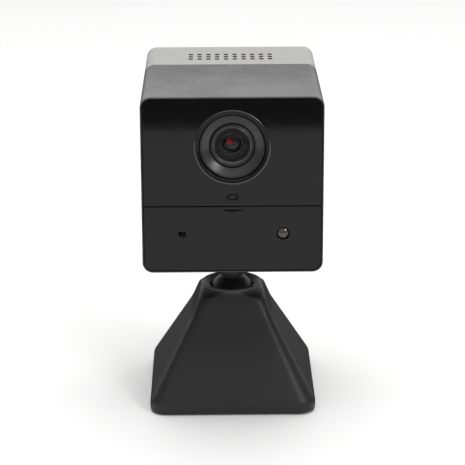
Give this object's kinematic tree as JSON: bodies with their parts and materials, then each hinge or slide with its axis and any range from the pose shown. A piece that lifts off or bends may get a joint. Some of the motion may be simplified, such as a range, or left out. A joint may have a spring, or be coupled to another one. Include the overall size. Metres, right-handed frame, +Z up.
{
  "type": "security camera",
  "caption": "Compact battery security camera: box head with lens and pull-off lower cover on a ball joint in a weighted pyramid base.",
  "frame": {"origin": "centre of the foot's underside, on the surface the camera stands on", "axes": "+Z up, -Y the way the lens looks, +X to the right for someone who faces the lens"},
  "size_m": [0.051, 0.0666, 0.0988],
  "materials": {
    "satin_black": "satin moulded",
    "inner_black": "matte moulded",
    "foot_rubber": "matte",
    "steel": "plated",
    "ballast_steel": "zinc plated",
    "liner_plastic": "smooth",
    "ball_black": "satin",
    "sleeve_black": "fine spark texture",
    "shell_grey": "fine matte",
    "seal_rubber": "matte",
    "panel_black": "high gloss",
    "diffuser": "frosted",
    "clear_window": "clear",
    "trim_black": "polished",
    "bezel_black": "turned satin",
    "barrel_black": "black anodised",
    "lens_glass": "coated",
    "coated_glass": "red coated",
    "circuit_board": "solder mask",
    "sensor_chip": "polished",
    "shield_steel": "tinned",
    "microphone_can": "satin",
    "cell_wrap": "shrink film",
    "wire_red": "satin",
    "cone_paper": "pressed paper",
    "button_black": "satin",
    "flap_rubber": "matte"
  },
  "bodies": {
    "base": {"base_shell": "satin_black", "base_plate": "inner_black", "foot_pad": "foot_rubber", "base_screws": "steel", "ballast": "ballast_steel", "ball_pad": "foot_rubber", "ball_retainer": "steel", "retainer_screws": "steel"},
    "socket_ring": {"socket_liner": "liner_plastic"},
    "ball": {"ball_stud": "ball_black", "stem_washer": "steel", "stem_screw": "steel"},
    "head": {"neck_collar": "satin_black", "neck_plate": "steel", "neck_screws": "steel", "front_sleeve": "sleeve_black", "rear_shell": "shell_grey", "underside_screws": "steel", "housing_gasket": "seal_rubber", "front_panel": "panel_black", "front_frame": "inner_black", "frame_screws": "steel", "light_pipe": "diffuser", "sensor_dome": "clear_window", "lens_trim_ring": "trim_black", "lens_bezel": "bezel_black", "lens_barrel": "barrel_black", "lens_retainer": "barrel_black", "front_lens": "lens_glass", "rear_lens": "coated_glass", "lens_holder": "inner_black", "sensor_board": "circuit_board", "image_sensor": "sensor_chip", "front_board": "circuit_board", "ir_emitters": "clear_window", "status_led": "diffuser", "io_board": "circuit_board", "card_socket": "shield_steel", "microphone": "microphone_can", "mic_boot": "seal_rubber", "reset_switch": "inner_black", "main_board": "circuit_board", "board_screws": "steel", "processor_shield": "shield_steel", "battery_cell": "cell_wrap", "battery_cradle": "inner_black", "cradle_screws": "steel", "battery_lead": "wire_red", "speaker_frame": "inner_black", "speaker_cone": "cone_paper", "power_board": "circuit_board", "usb_socket": "shield_steel", "power_switch": "inner_black", "flap_pin": "steel"},
    "cover": {"front_cover": "panel_black"},
    "power_key": {"power_button": "button_black"},
    "reset_key": {"reset_button": "inner_black"},
    "flap": {"port_flap": "flap_rubber"},
    "filter_slide": {"ircut_carriage": "inner_black", "ircut_filter": "coated_glass"}
  },
  "joints": [
    {"name": "pan", "type": "hinge", "parent": "base", "child": "socket_ring", "pos_m": [0, 0, 0.0296], "axis": [0, 0, 1], "continuous": true},
    {"name": "tilt", "type": "hinge", "parent": "socket_ring", "child": "ball", "pos_m": [0, 0, 0.0296], "axis": [1, 0, 0], "range_deg": [-35, 35]},
    {"name": "swivel", "type": "hinge", "parent": "ball", "child": "head", "pos_m": [0, 0, 0.0296], "axis": [0, 0, 1], "continuous": true},
    {"name": "cover_pull", "type": "slide", "parent": "head", "child": "cover", "axis": [0, -1, 0], "range_m": [0, 0.012]},
    {"name": "power_press", "type": "slide", "parent": "head", "child": "power_key", "axis": [0, -1, 0], "range_m": [0, 0.0005], "stiffness_N_per_m": 400},
    {"name": "reset_press", "type": "slide", "parent": "head", "child": "reset_key", "axis": [0, 1, 0], "range_m": [0, 0.0004], "stiffness_N_per_m": 400},
    {"name": "flap_hinge", "type": "hinge", "parent": "head", "child": "flap", "pos_m": [-0.008, 0.03235, 0.05535], "axis": [-1, 0, 0], "range_deg": [0, 85]},
    {"name": "filter_travel", "type": "slide", "parent": "head", "child": "filter_slide", "axis": [1, 0, 0], "range_m": [0, 0.006]}
  ]
}
